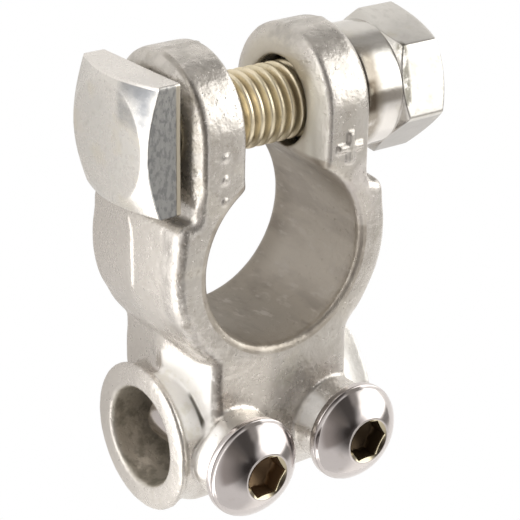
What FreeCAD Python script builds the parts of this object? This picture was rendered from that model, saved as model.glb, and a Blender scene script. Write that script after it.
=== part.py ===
import FreeCAD, Part
import math
import os

# Battery terminal clamp with a screwed cable barrel. Lengths are in millimetres, angles in degrees.
# Z is the axis of the battery post, X the axis of the clamp bolt, and Y points from the cable
# barrel to the bolt. The origin lies on the post axis, in the flat underside of the casting.

# Casting: ring, shoulders, lugs and neck
body_height = 15.7
post_bore_radius = 9.25
post_taper = 9.0
ring_wall = 3.7
bore_edge_chamfer = 0.4
slot_width = 8.6
lug_thickness = 6.4
shoulder_step = 1.9
shoulder_corner_radius = 1.3
lug_corner_radius = 0.5
neck_width = 18.1
neck_corner_radius = 1.5
edge_chamfer = 0.65

# Casting: cable barrel and the bosses of its screws
bridge_length = 5.3
cable_bore_radius = 5.15
barrel_inset = 0.55
barrel_blend = 1.4
barrel_length = 24.3
collar_step = 0.4
collar_width = 0.8
collar_edge_chamfer = 0.25
mouth_chamfer = 0.3
screw_spacing = 12.8
boss_radius = 4.1
boss_height = 3.0
boss_edge_chamfer = 0.3
boss_foot_chamfer = 0.7

# Clamp bolt, M8 with a square head
bolt_radius = 4.0
bolt_length = 30.0
bolt_tip_chamfer = 0.8
head_width = 13.0
head_height = 4.0
head_face_radius = 5.9
head_chamfer_angle = 27.0
head_turn = -0.6

# Nut, a hexagon with a turned collar
nut_width = 13.0
nut_hex_length = 5.7
nut_end_radius = 6.2
nut_collar_radius = 6.45
nut_collar_length = 4.55
nut_chamfer_angle = 30.0
nut_mouth_chamfer = 0.5
nut_turn = -13.0

# Cable screws, M6 with a button head and a hexagon socket
screw_radius = 3.0
screw_length = 14.0
screw_tip_chamfer = 0.5
button_radius = 5.25
button_height = 3.1
button_band = 0.8
button_flat_radius = 2.5
socket_width = 4.0
socket_depth = 2.2
socket_point_angle = 30.0

# Fits and gaps
thread_clearance = 0.05
seat_clearance = 0.05
bolt_hole_clearance = 0.6
bolt_into_bore = 0.1
head_to_lug = 0.9
head_to_shoulder = 1.1

# Places worked out from the sizes
middle_height = body_height / 2
ring_radius = post_bore_radius + ring_wall
post_bore_foot_radius = post_bore_radius + body_height / post_taper / 2
bolt_y = post_bore_radius + bolt_radius - bolt_into_bore
lug_x = slot_width / 2 + lug_thickness
shoulder_x = lug_x + shoulder_step
shoulder_y = bolt_y - head_width / 2 - head_to_shoulder
barrel_y = -(post_bore_radius + bridge_length + cable_bore_radius)
barrel_radius = middle_height - barrel_inset
collar_radius = barrel_radius + collar_step
boss_top_z = body_height + boss_height
head_bearing_x = -(lug_x + head_to_lug)
nut_bearing_x = lug_x + seat_clearance

# Directions, and lengths that reach past every face they cut
axis_x = FreeCAD.Vector(1, 0, 0)
axis_y = FreeCAD.Vector(0, 1, 0)
axis_z = FreeCAD.Vector(0, 0, 1)
beyond = 4 * (body_height + bolt_length)
just_past = 0.1
tolerance = 0.001


def vector(x, y, z):
    return FreeCAD.Vector(x, y, z)


def block(low, high):
    """A box between two opposite corners."""
    return Part.makeBox(high.x - low.x, high.y - low.y, high.z - low.z, low)


def cylinder_x(radius, start_x, end_x, y, z):
    """A cylinder along X between two places."""
    return Part.makeCylinder(radius, end_x - start_x, vector(start_x, y, z), axis_x)


def cylinder_z(radius, x, y, start_z, end_z):
    """A cylinder along Z between two heights."""
    return Part.makeCylinder(radius, end_z - start_z, vector(x, y, start_z), axis_z)


def turned_x(points, y, z):
    """A solid of revolution about an axis along X, from (x, radius) corners."""
    wire = Part.makePolygon([vector(x, y + radius, z) for x, radius in points + points[:1]])
    return Part.Face(wire).revolve(vector(0, y, z), axis_x, 360)


def hexagon_prism(width, length):
    """A hexagonal prism along Z from the origin, by its width across flats."""
    corner = width / math.sqrt(3)
    angles = [math.radians(60 * i) for i in range(7)]
    wire = Part.makePolygon([vector(corner * math.cos(a), corner * math.sin(a), 0) for a in angles])
    return Part.Face(wire).extrude(vector(0, 0, length))


def upright_edges(solid, x, y):
    """The vertical edges that stand at a place in plan, and at its mirror place across the YZ plane."""
    found = []
    for edge in solid.Edges:
        start = edge.firstVertex().Point
        end = edge.lastVertex().Point
        upright = math.hypot(start.x - end.x, start.y - end.y) < tolerance
        if upright and abs(abs(start.x) - x) < tolerance and abs(start.y - y) < tolerance:
            found.append(edge)
    return found


def plan_prism():
    """The casting seen from above: ring, shoulders, both lugs in one piece, and neck."""
    ring = cylinder_z(ring_radius, 0, 0, 0, body_height)
    ring = ring.common(block(vector(-beyond, -beyond, 0), vector(beyond, shoulder_y, body_height)))
    shoulders = block(vector(-shoulder_x, 0, 0), vector(shoulder_x, shoulder_y, body_height))
    lugs = block(vector(-lug_x, 0, 0), vector(lug_x, bolt_y + body_height, body_height))
    neck = block(vector(-neck_width / 2, barrel_y - body_height, 0), vector(neck_width / 2, 0, body_height))
    plan = ring.fuse([shoulders, lugs, neck]).removeSplitter()
    neck_y = -math.sqrt(ring_radius ** 2 - neck_width ** 2 / 4)
    plan = plan.makeFillet(neck_corner_radius, upright_edges(plan, neck_width / 2, neck_y))
    plan = plan.makeFillet(lug_corner_radius, upright_edges(plan, lug_x, shoulder_y))
    return plan.makeFillet(shoulder_corner_radius, upright_edges(plan, shoulder_x, shoulder_y))


def side_prism(inset):
    """The casting seen from the side: a bar of even height with both ends fully rounded."""
    radius = middle_height - inset
    low_barrel = vector(-beyond, barrel_y, inset)
    low_bolt = vector(-beyond, bolt_y, inset)
    high_bolt = vector(-beyond, bolt_y, body_height - inset)
    high_barrel = vector(-beyond, barrel_y, body_height - inset)
    bolt_end = vector(-beyond, bolt_y + radius, middle_height)
    barrel_end = vector(-beyond, barrel_y - radius, middle_height)
    edges = [
        Part.LineSegment(low_barrel, low_bolt).toShape(),
        Part.Arc(low_bolt, bolt_end, high_bolt).toShape(),
        Part.LineSegment(high_bolt, high_barrel).toShape(),
        Part.Arc(high_barrel, barrel_end, low_barrel).toShape(),
    ]
    return Part.Face(Part.Wire(edges)).extrude(vector(2 * beyond, 0, 0))


def on_side_outline(point):
    """Whether a point lies on the even-height outline with the rounded ends."""
    y = min(max(point.y, barrel_y), bolt_y)
    return abs(math.hypot(point.y - y, point.z - middle_height) - middle_height) < tolerance


def outline_edges(solid):
    """The sharp edges where the upright walls meet the top, the underside and the rounded ends."""
    found = []
    for edge in solid.Edges:
        middle = edge.valueAt((edge.FirstParameter + edge.LastParameter) / 2)
        start = edge.firstVertex().Point
        end = edge.lastVertex().Point
        across = math.hypot(start.y - end.y, start.z - end.z) < tolerance
        at_seam = abs(start.y - bolt_y) < tolerance or abs(start.y - barrel_y) < tolerance
        at_slot_end = abs(middle.y) < tolerance
        if on_side_outline(middle) and not (across and (at_seam or at_slot_end)):
            found.append(edge)
    return found


def rounded_plate():
    """The ring, lugs and neck with the slot cut and every outline edge broken."""
    plate = plan_prism().common(side_prism(0))
    slot = block(vector(-slot_width / 2, 0, -beyond), vector(slot_width / 2, beyond, beyond))
    plate = plate.cut(slot)
    return plate.makeChamfer(edge_chamfer, outline_edges(plate))


def barrel():
    """The cable barrel: a plain tube with a rounded collar at each mouth."""
    end_x = barrel_length / 2
    tube = cylinder_x(barrel_radius, -end_x + collar_width / 2, end_x - collar_width / 2, barrel_y, middle_height)
    collars = []
    for start_x in (-end_x, end_x - collar_width):
        collar = cylinder_x(collar_radius, start_x, start_x + collar_width, barrel_y, middle_height)
        rims = [edge for edge in collar.Edges if isinstance(edge.Curve, Part.Circle)]
        collars.append(collar.makeChamfer(collar_edge_chamfer, rims))
    return tube.fuse(collars)


def barrel_blends():
    """The cone on each side that eases the barrel into the flat of the neck's side."""
    neck_x = neck_width / 2
    wide = barrel_radius + barrel_blend
    cones = turned_x([
        (-neck_x - barrel_blend, 0), (-neck_x - barrel_blend, barrel_radius), (-neck_x, wide),
        (neck_x, wide), (neck_x + barrel_blend, barrel_radius), (neck_x + barrel_blend, 0),
    ], barrel_y, middle_height)
    return cones.common(side_prism(edge_chamfer))


def boss(x):
    """A round boss for one cable screw, from the barrel's axis to the screw's seat."""
    solid = cylinder_z(boss_radius, x, barrel_y, middle_height, boss_top_z)
    rims = [edge for edge in solid.Edges if isinstance(edge.Curve, Part.Circle) and edge.BoundBox.ZMin > middle_height]
    return solid.makeChamfer(boss_edge_chamfer, rims)


def boss_foot_edges(solid):
    """The edges where the bosses rise from the flat top of the casting."""
    found = []
    for edge in solid.Edges:
        if isinstance(edge.Curve, Part.Circle) and abs(edge.Curve.Radius - boss_radius) < tolerance:
            if abs(edge.Curve.Center.z - body_height) < tolerance:
                found.append(edge)
    return found


def post_bore():
    """The tapered bore for the battery post, with a small chamfer at each end."""
    taper_step = bore_edge_chamfer / post_taper / 2
    wire = Part.makePolygon([
        vector(0, 0, 0), vector(post_bore_foot_radius + bore_edge_chamfer, 0, 0),
        vector(post_bore_foot_radius - taper_step, 0, bore_edge_chamfer),
        vector(post_bore_radius + taper_step, 0, body_height - bore_edge_chamfer),
        vector(post_bore_radius + bore_edge_chamfer, 0, body_height),
        vector(0, 0, body_height), vector(0, 0, 0),
    ])
    return Part.Face(wire).revolve(vector(0, 0, 0), axis_z, 360)


def cable_bore():
    """The through bore for the cable, with a chamfered mouth at each end."""
    end_x = barrel_length / 2
    mouth = cable_bore_radius + mouth_chamfer
    return turned_x([
        (-end_x - mouth_chamfer, 0), (-end_x - mouth_chamfer, mouth + mouth_chamfer),
        (-end_x + mouth_chamfer, cable_bore_radius), (end_x - mouth_chamfer, cable_bore_radius),
        (end_x + mouth_chamfer, mouth + mouth_chamfer), (end_x + mouth_chamfer, 0),
    ], barrel_y, middle_height)


def clamp_body():
    """The one-piece casting."""
    screw_places = (-screw_spacing / 2, screw_spacing / 2)
    solid = rounded_plate().fuse([barrel(), barrel_blends()] + [boss(x) for x in screw_places])
    solid = solid.makeChamfer(boss_foot_chamfer, boss_foot_edges(solid))
    hole_radius = screw_radius + thread_clearance
    holes = [cylinder_z(hole_radius, x, barrel_y, middle_height, beyond) for x in screw_places]
    holes.append(cylinder_x(bolt_radius + bolt_hole_clearance, -beyond, beyond, bolt_y, middle_height))
    return solid.cut([post_bore(), cable_bore()] + holes).removeSplitter()


def clamp_bolt():
    """The bolt: a square head with its corners turned down to a round face, and the shank."""
    face_x = head_bearing_x - head_height
    half = head_width / 2
    square = block(
        vector(face_x, bolt_y - half, middle_height - half),
        vector(head_bearing_x, bolt_y + half, middle_height + half))
    flare = head_height / math.tan(math.radians(head_chamfer_angle))
    cone = Part.makeCone(
        head_face_radius, head_face_radius + flare, head_height, vector(face_x, bolt_y, middle_height), axis_x)
    tip_x = head_bearing_x + bolt_length
    shank = turned_x([
        (head_bearing_x - head_height / 2, 0), (head_bearing_x - head_height / 2, bolt_radius),
        (tip_x - bolt_tip_chamfer, bolt_radius), (tip_x, bolt_radius - bolt_tip_chamfer), (tip_x, 0),
    ], bolt_y, middle_height)
    square.rotate(vector(0, bolt_y, middle_height), axis_x, head_turn)
    return square.common(cone).fuse(shank).removeSplitter()


def clamp_nut():
    """The nut: a hexagon chamfered at both ends, running into a turned collar that meets the lug."""
    shoulder_x = nut_bearing_x + nut_collar_length
    end_x = shoulder_x + nut_hex_length
    corner = nut_width / math.sqrt(3) + just_past
    slope = math.tan(math.radians(nut_chamfer_angle))
    hexagon = hexagon_prism(nut_width, nut_hex_length)
    hexagon.rotate(vector(0, 0, 0), axis_y, 90)
    hexagon.rotate(vector(0, 0, 0), axis_x, 90 + nut_turn)
    hexagon.translate(vector(shoulder_x, bolt_y, middle_height))
    chamfers = turned_x([
        (shoulder_x, 0), (shoulder_x, nut_collar_radius),
        (shoulder_x + (corner - nut_collar_radius) * slope, corner),
        (end_x - (corner - nut_end_radius) * slope, corner),
        (end_x, nut_end_radius), (end_x, 0),
    ], bolt_y, middle_height)
    collar = cylinder_x(nut_collar_radius, nut_bearing_x, shoulder_x, bolt_y, middle_height)
    bore_radius = bolt_radius + thread_clearance
    mouth = bore_radius + nut_mouth_chamfer
    thread = turned_x([
        (nut_bearing_x, 0), (nut_bearing_x, mouth), (nut_bearing_x + nut_mouth_chamfer, bore_radius),
        (end_x - nut_mouth_chamfer, bore_radius), (end_x, mouth), (end_x, 0),
    ], bolt_y, middle_height)
    return hexagon.common(chamfers).fuse(collar).cut(thread).removeSplitter()


def button_head():
    """A button head on the origin: a short upright band under a dome with a flat round its socket."""
    centre_z = (button_radius ** 2 + button_band ** 2 - button_flat_radius ** 2 - button_height ** 2) / (
        2 * (button_band - button_height))
    dome_radius = math.hypot(button_radius, button_band - centre_z)
    middle_radius = (button_radius + button_flat_radius) / 2
    middle_z = centre_z + math.sqrt(dome_radius ** 2 - middle_radius ** 2)
    band_top = vector(button_radius, 0, button_band)
    flat_edge = vector(button_flat_radius, 0, button_height)
    edges = [
        Part.LineSegment(vector(0, 0, 0), vector(button_radius, 0, 0)).toShape(),
        Part.LineSegment(vector(button_radius, 0, 0), band_top).toShape(),
        Part.Arc(band_top, vector(middle_radius, 0, middle_z), flat_edge).toShape(),
        Part.LineSegment(flat_edge, vector(0, 0, button_height)).toShape(),
        Part.LineSegment(vector(0, 0, button_height), vector(0, 0, 0)).toShape(),
    ]
    return Part.Face(Part.Wire(edges)).revolve(vector(0, 0, 0), axis_z, 360)


def socket():
    """The hexagon socket of a button head, with the drilled point at its floor."""
    floor_z = button_height - socket_depth
    hexagon = hexagon_prism(socket_width, 2 * socket_depth)
    hexagon.translate(vector(0, 0, floor_z))
    point_depth = socket_width / 2 * math.tan(math.radians(socket_point_angle))
    point = Part.makeCone(0, socket_width / 2, point_depth, vector(0, 0, floor_z - point_depth))
    return hexagon.fuse(point)


def cable_screw(x):
    """One cable screw, its head seated on the boss and its shank reaching into the cable bore."""
    shank = cylinder_z(screw_radius, 0, 0, -screw_length, button_band)
    tips = [edge for edge in shank.Edges if isinstance(edge.Curve, Part.Circle) and edge.BoundBox.ZMax < 0]
    shank = shank.makeChamfer(screw_tip_chamfer, tips)
    solid = button_head().fuse(shank).cut(socket()).removeSplitter()
    solid.translate(vector(x, barrel_y, boss_top_z + seat_clearance))
    return solid


def main():
    os.makedirs("parts", exist_ok=True)
    nodes = {
        "clamp_body": clamp_body(),
        "clamp_bolt": clamp_bolt(),
        "clamp_nut": clamp_nut(),
        "cable_screw_left": cable_screw(-screw_spacing / 2),
        "cable_screw_right": cable_screw(screw_spacing / 2),
    }
    for name, shape in nodes.items():
        solids = shape.Solids
        if len(solids) != 1 or not solids[0].isValid():
            raise RuntimeError(name + " is not one valid solid")
        solids[0].exportStep("parts/" + name + ".step")
        print(name, "volume", round(solids[0].Volume, 1), "box", solids[0].BoundBox)


main()
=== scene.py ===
import bpy
import math
import numpy as np
from mathutils import Matrix, Vector
from mathutils.bvhtree import BVHTree


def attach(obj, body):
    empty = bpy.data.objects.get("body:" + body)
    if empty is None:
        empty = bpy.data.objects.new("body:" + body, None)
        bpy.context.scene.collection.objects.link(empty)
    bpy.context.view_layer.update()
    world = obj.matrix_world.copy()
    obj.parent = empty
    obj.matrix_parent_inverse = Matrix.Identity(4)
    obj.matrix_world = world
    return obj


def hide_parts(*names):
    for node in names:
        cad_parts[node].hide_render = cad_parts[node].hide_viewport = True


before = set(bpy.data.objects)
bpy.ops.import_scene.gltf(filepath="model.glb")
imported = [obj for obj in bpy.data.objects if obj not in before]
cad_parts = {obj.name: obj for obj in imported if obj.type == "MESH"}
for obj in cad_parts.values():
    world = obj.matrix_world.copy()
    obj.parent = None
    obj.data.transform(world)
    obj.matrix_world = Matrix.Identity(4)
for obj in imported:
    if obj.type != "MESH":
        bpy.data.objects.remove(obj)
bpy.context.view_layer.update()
print("frame loaded:", sorted(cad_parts))

mm = 0.001
# the clamp's own lines, in millimetres, where the CAD has them
clamp = {"boltY": 13.15, "barrelY": -19.7, "screwX": 6.4, "middle": 7.85, "front": 15.7, "ring": 12.95}

world = bpy.data.worlds.new("studio")
bpy.context.scene.world = world
bpy.context.scene.view_settings.view_transform = "Standard"
bpy.context.scene.view_settings.look = "None"


# small node helpers; values in a shader are in metres

def addNode(tree, kind, wires=None, **settings):
    made = tree.nodes.new("ShaderNode" + kind)
    for key, value in settings.items():
        setattr(made, key, value)
    for key, value in (wires or {}).items():
        if isinstance(value, bpy.types.NodeSocket):
            tree.links.new(value, made.inputs[key])
        else:
            made.inputs[key].default_value = value
    return made


def calc(tree, operation, a, b=0.0, clamp=False):
    return addNode(tree, "Math", {0: a, 1: b}, operation=operation, use_clamp=clamp).outputs[0]


def fade(tree, value, low, high, toLow=0.0, toHigh=1.0):
    # smooth step of value from low to high
    wires = {"Value": value, "From Min": low, "From Max": high, "To Min": toLow, "To Max": toHigh}
    return addNode(tree, "MapRange", wires, interpolation_type="SMOOTHSTEP").outputs[0]


def ramp(tree, value, start, end):
    # 0 before start and 1 past end, both in millimetres
    return fade(tree, value, start * mm, end * mm)


def product(tree, *parts):
    total = parts[0]
    for part in parts[1:]:
        total = calc(tree, "MULTIPLY", total, part)
    return total


def distance(tree, a, b):
    # how far a point is from a line, from its distances in the two directions across it
    return calc(tree, "SQRT", calc(tree, "ADD", calc(tree, "MULTIPLY", a, a), calc(tree, "MULTIPLY", b, b)))


def blendColour(tree, share, a, b, blendType="MIX"):
    made = addNode(tree, "Mix", data_type="RGBA", blend_type=blendType)
    for place, value in ((0, share), (6, a), (7, b)):
        if isinstance(value, bpy.types.NodeSocket):
            tree.links.new(value, made.inputs[place])
        else:
            made.inputs[place].default_value = value if place == 0 else (*value[:3], 1.0)
    return made.outputs[2]


def grain(tree, coords, size, detail=3.0, rough=0.55, stretch=(1, 1, 1), seed=0.0):
    # soft noise whose blobs are about size millimetres across
    if stretch != (1, 1, 1):
        coords = addNode(tree, "Mapping", {"Vector": coords, "Scale": stretch}).outputs[0]
    wires = {"Vector": coords, "Scale": 1.0 / (size * mm), "Detail": detail, "Roughness": rough, "W": seed}
    return addNode(tree, "TexNoise", wires, noise_dimensions="4D").outputs["Fac"]


# camera at the photograph's view

cameraView = {
    "place": (-106.317, 75.910, 151.691),
    "right": (0.80182348, 0.01882329, 0.59726442),
    "up": (0.22749019, 0.91462507, -0.33422924),
    "forward": (0.55256431, -0.40386465, -0.72908575),
    "lens": 133.34,
}
lens = bpy.data.cameras.new("photoCamera")
lens.lens = cameraView["lens"]
lens.sensor_width = 36.0
lens.sensor_fit = "HORIZONTAL"
lens.clip_start = 0.005
lens.clip_end = 20.0
camera = bpy.data.objects.new("photoCamera", lens)
bpy.context.scene.collection.objects.link(camera)
turn = Matrix((cameraView["right"], cameraView["up"], [-v for v in cameraView["forward"]])).transposed()
camera.matrix_world = Matrix.Translation(Vector(cameraView["place"]) * mm) @ turn.to_4x4()
bpy.context.scene.camera = camera


# studio: pale walls, a large softbox on the right, a low light on the left, and dark above and behind the camera

studio = {
    "wall": (0.86, 0.84, 0.82),
    "patches": [
        # azimuth and elevation of its middle, half its width and height, and the soft edges of both, all in degrees
        {"az": -58, "wide": 21, "el": 14, "high": 34, "edge": (10, 10), "colour": (1.30, 1.27, 1.22)},  # wall
        {"az": -118, "wide": 32, "el": 90, "high": 36, "edge": (10, 16), "colour": (0.10, 0.092, 0.088)},
        {"az": 176, "wide": 43, "el": 50, "high": 20, "edge": (6, 8), "colour": (0.42, 0.385, 0.365)},
        {"az": 176, "wide": 43, "el": 90, "high": 33, "edge": (6, 22), "colour": (0.035, 0.03, 0.028)},
        {"az": 125, "wide": 22, "el": 48, "high": 26, "edge": (18, 8), "colour": (0.21, 0.19, 0.175)},
        {"az": 91, "wide": 28, "el": 50, "high": 38, "edge": (16, 8), "colour": (0.09, 0.082, 0.077)},
        {"az": 120, "wide": 85, "el": 90, "high": 18, "edge": (12, 8), "colour": (0.035, 0.03, 0.028)},
        {"az": -22, "wide": 30, "el": 56, "high": 14, "edge": (9, 9), "colour": (0.53, 0.505, 0.465)},
        {"az": -10, "wide": 9, "el": 8, "high": 26, "edge": (4, 6), "colour": (0.30, 0.285, 0.27)},  # stand
        {"az": 25, "wide": 27, "el": 26, "high": 31, "edge": (4, 9), "colour": (2.8, 2.78, 2.7)},  # softbox
        {"az": 53, "wide": 6, "el": 35, "high": 15, "edge": (3, 7), "colour": (2.0, 1.98, 1.9)},
        {"az": 68, "wide": 9, "el": 24, "high": 20, "edge": (4, 6), "colour": (0.36, 0.34, 0.32)},
        {"az": 64, "wide": 20, "el": -4, "high": 20, "edge": (5, 5), "colour": (0.33, 0.31, 0.285)},
        {"az": -176, "wide": 52, "el": -4, "high": 11, "edge": (5, 4), "colour": (3.6, 3.55, 3.45)},  # low light
    ],
}


def buildStudio():
    world.use_nodes = True
    tree = world.node_tree
    tree.nodes.clear()
    direction = addNode(tree, "TexCoord").outputs["Generated"]
    axes = addNode(tree, "SeparateXYZ", {0: direction}).outputs
    azimuth = calc(tree, "DEGREES", calc(tree, "ARCTAN2", axes[1], axes[0]))
    elevation = calc(tree, "DEGREES", calc(tree, "ARCSINE", axes[2]))
    colour = (*studio["wall"], 1.0)
    for patch in studio["patches"]:
        aside = nearAngle(tree, azimuth, patch["az"], patch["wide"], patch["edge"][0])
        above = calc(tree, "ABSOLUTE", calc(tree, "SUBTRACT", elevation, patch["el"]))
        above = fade(tree, above, patch["high"] + patch["edge"][1], patch["high"] - patch["edge"][1])
        colour = blendColour(tree, calc(tree, "MULTIPLY", aside, above), colour, patch["colour"])
    seen = addNode(tree, "LightPath").outputs["Is Camera Ray"]
    colour = blendColour(tree, seen, colour, (1.0, 1.0, 1.0))
    shade = addNode(tree, "Background", {"Color": colour, "Strength": 1.0})
    tree.links.new(shade.outputs[0], addNode(tree, "OutputWorld").inputs["Surface"])


def nearAngle(tree, angle, middle, wide, edge):
    # 1 where an angle in degrees is within wide of the middle one
    aside = calc(tree, "SUBTRACT", angle, middle)
    aside = addNode(tree, "Math", {0: aside, 1: 180.0, 2: -180.0}, operation="WRAP").outputs[0]
    return fade(tree, calc(tree, "ABSOLUTE", aside), wide + edge, wide - edge)


paper = {
    "colour": (0.72, 0.715, 0.705), "rough": 0.55, "shine": 0.2, "glow": (1.0, 0.985, 0.97), "strength": 0.46,
    "half": 3.0, "below": 0.05,  # half its width in metres, and its place under the clamp in millimetres
    # parts of the sheet, by direction and distance from the clamp in millimetres, and how bright they are; the lit
    # part's glow is a painted pool of light on the sheet, towards the low light
    "lit": {"az": -170, "wide": 38, "edge": 8, "from": 27.0, "to": 38.0, "strength": 2.4},
    "dim": {"az": 63, "wide": 20, "edge": 6, "from": 36.0, "to": 66.0, "strength": 0.14, "colour": (0.2, 0.19, 0.18)},
}


def buildFloor():
    # white paper on a light table: plain white to the camera, and as itself in the metal's reflections
    made = bpy.data.materials.new("palePaper")
    made.use_nodes = True
    tree = made.node_tree
    shader = tree.nodes["Principled BSDF"]
    coords = addNode(tree, "TexCoord").outputs["Object"]
    axes = addNode(tree, "SeparateXYZ", {0: coords}).outputs
    azimuth = calc(tree, "DEGREES", calc(tree, "ARCTAN2", axes[1], axes[0]))
    away = addNode(tree, "VectorMath", {0: coords}, operation="LENGTH").outputs["Value"]
    colour, strength = paper["colour"], paper["strength"]
    for name in ("lit", "dim"):
        part = paper[name]
        share = product(tree, nearAngle(tree, azimuth, part["az"], part["wide"], part["edge"]),
                        ramp(tree, away, part["from"], part["to"]))
        strength = addNode(tree, "Mix", {0: share, 2: strength, 3: part["strength"]}, data_type="FLOAT").outputs[0]
        if "colour" in part:
            colour = blendColour(tree, share, colour, part["colour"])
    tree.links.new(colour, shader.inputs["Base Color"])
    tree.links.new(strength, shader.inputs["Emission Strength"])
    shader.inputs["Roughness"].default_value = paper["rough"]
    shader.inputs["Specular IOR Level"].default_value = paper["shine"]
    shader.inputs["Emission Color"].default_value = (*paper["glow"], 1)
    white = addNode(tree, "Emission", {"Color": (1, 1, 1, 1), "Strength": 1.0})
    seen = addNode(tree, "LightPath").outputs["Is Camera Ray"]
    mixed = addNode(tree, "MixShader", {0: seen, 1: shader.outputs[0], 2: white.outputs[0]})
    tree.links.new(mixed.outputs[0], tree.nodes["Material Output"].inputs["Surface"])
    mesh = bpy.data.meshes.new("floor")
    half = paper["half"]
    mesh.from_pydata([(-half, -half, 0), (half, -half, 0), (half, half, 0), (-half, half, 0)], [], [(0, 1, 2, 3)])
    mesh.materials.append(made)
    floor = bpy.data.objects.new("floor", mesh)
    floor.location.z = -paper["below"] * mm
    bpy.context.scene.collection.objects.link(floor)


buildStudio()
buildFloor()
print("studio and floor built")


# metal finishes, with painted shade in their hollows, and marks among which are painted light and shade

mottle = {"clouds": (0.35, 0.65), "speckle": (0.52, 0.78), "rough": (0.35, 0.65)}  # the part of each noise that shows


def metalFinishAndPaintedLight(name, look):
    made = bpy.data.materials.new(name)
    made.use_nodes = True
    tree = made.node_tree
    shader = tree.nodes["Principled BSDF"]
    coords = addNode(tree, "TexCoord").outputs["Object"]
    clouds = grain(tree, coords, look["cloudSize"], 4.0, 0.6, look.get("cloudStretch", (1, 1, 1)), 1.0)
    speckle = grain(tree, coords, look["speckleSize"], 3.0, 0.6, look.get("speckleStretch", (1, 1, 1)), 2.0)
    colour = blendColour(tree, fade(tree, clouds, *mottle["clouds"]), look["tint"], look["tint2"])
    colour = blendColour(tree, fade(tree, speckle, *mottle["speckle"]), colour, look["speckle"])
    mixed = calc(tree, "ADD", calc(tree, "MULTIPLY", clouds, 0.5), calc(tree, "MULTIPLY", speckle, 0.5))
    rough = fade(tree, mixed, *mottle["rough"], *look["rough"])
    metal = look["metal"]
    for stainAndPaintedLight in look["stainsAndPaintedLight"]:
        share = stainAndPaintedLightShare(tree, coords, stainAndPaintedLight)
        colour = blendColour(tree, share, colour, stainAndPaintedLight["colour"])
        if "rough" in stainAndPaintedLight:
            rough = addNode(tree, "Mix", {0: share, 2: rough, 3: stainAndPaintedLight["rough"]}, data_type="FLOAT").outputs[0]
        if "metal" in stainAndPaintedLight:
            metal = addNode(tree, "Mix", {0: share, 2: metal, 3: stainAndPaintedLight["metal"]}, data_type="FLOAT").outputs[0]
    # painted shade: the colour darkens towards the look's darkest colour where ambient occlusion finds hollows, gaps,
    # creases and thread grooves
    hollow = addNode(tree, "AmbientOcclusion", {"Distance": look["hollowSize"] * mm}, samples=6).outputs["AO"]
    colour = blendColour(tree, fade(tree, hollow, look["hollowFrom"], look["hollowTo"]), look["paintedHollowShade"], colour)
    tree.links.new(colour, shader.inputs["Base Color"])
    tree.links.new(rough, shader.inputs["Roughness"])
    if isinstance(metal, bpy.types.NodeSocket):
        tree.links.new(metal, shader.inputs["Metallic"])
    else:
        shader.inputs["Metallic"].default_value = metal
    normal = None
    for bump in look["bumps"]:
        stretch = bump.get("stretch", (1, 1, 1))
        height = grain(tree, coords, bump["size"], bump.get("detail", 2.0), 0.5, stretch, bump["seed"])
        if "pits" in bump:
            height = fade(tree, height, *bump["pits"])
        if "mask" in bump:
            height = calc(tree, "MULTIPLY", height, bump["mask"](tree, coords))
        wires = {"Strength": 1.0, "Distance": bump["height"] * mm, "Height": height}
        if normal is not None:
            wires["Normal"] = normal
        normal = addNode(tree, "Bump", wires).outputs[0]
    if normal is not None:
        tree.links.new(normal, shader.inputs["Normal"])
    return made


def stainAndPaintedLightShare(tree, coords, stainAndPaintedLight):
    # where a mark lies, whether a real stain or a patch of painted light and shade: its place, broken up by its own
    # grain
    share = stainAndPaintedLight.get("share", 1.0)
    if "grain" in stainAndPaintedLight:
        size, low, high, seed = stainAndPaintedLight["grain"]
        blots = grain(tree, coords, size, stainAndPaintedLight.get("detail", 3.0), 0.6, stainAndPaintedLight.get("stretch", (1, 1, 1)), seed)
        share = calc(tree, "MULTIPLY", fade(tree, blots, low, high), share)
    if "mask" in stainAndPaintedLight:
        share = calc(tree, "MULTIPLY", stainAndPaintedLight["mask"](tree, coords), share)
    return share


def nearAxis(y, z, radius, edge=0.25):
    # the inside of a round hole along X
    def mask(tree, coords):
        axes = addNode(tree, "SeparateXYZ", {0: coords}).outputs
        away = distance(tree, calc(tree, "SUBTRACT", axes[1], y * mm), calc(tree, "SUBTRACT", axes[2], z * mm))
        return ramp(tree, away, radius + edge, radius - edge)
    return mask


def nearPost(radius, edge=0.1, highest=(9.3, 8.7)):
    # the inside of the post bore, up to the slot
    def mask(tree, coords):
        axes = addNode(tree, "SeparateXYZ", {0: coords}).outputs
        away = distance(tree, axes[0], axes[1])
        return product(tree, ramp(tree, away, radius + edge, radius - edge), ramp(tree, axes[1], *highest))
    return mask


def inSocket(x, radius, top, edge=0.03, lowest=(18.0, 18.1)):
    # the inside of a screw's hexagon socket
    def mask(tree, coords):
        axes = addNode(tree, "SeparateXYZ", {0: coords}).outputs
        across = calc(tree, "SUBTRACT", axes[0], x * mm)
        along = calc(tree, "SUBTRACT", axes[1], clamp["barrelY"] * mm)
        inside = ramp(tree, distance(tree, across, along), radius + edge, radius - edge)
        return product(tree, inside, ramp(tree, axes[2], top + edge, top - edge), ramp(tree, axes[2], *lowest))
    return mask


def inBox(low, high, edge=0.2):
    # inside a box between two corners, with a soft edge
    def mask(tree, coords):
        axes = addNode(tree, "SeparateXYZ", {0: coords}).outputs
        parts = []
        for i in range(3):
            if low[i] is not None:
                parts.append(ramp(tree, axes[i], low[i] - edge, low[i] + edge))
            if high[i] is not None:
                parts.append(ramp(tree, axes[i], high[i] + edge, high[i] - edge))
        return product(tree, *parts)
    return mask


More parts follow.
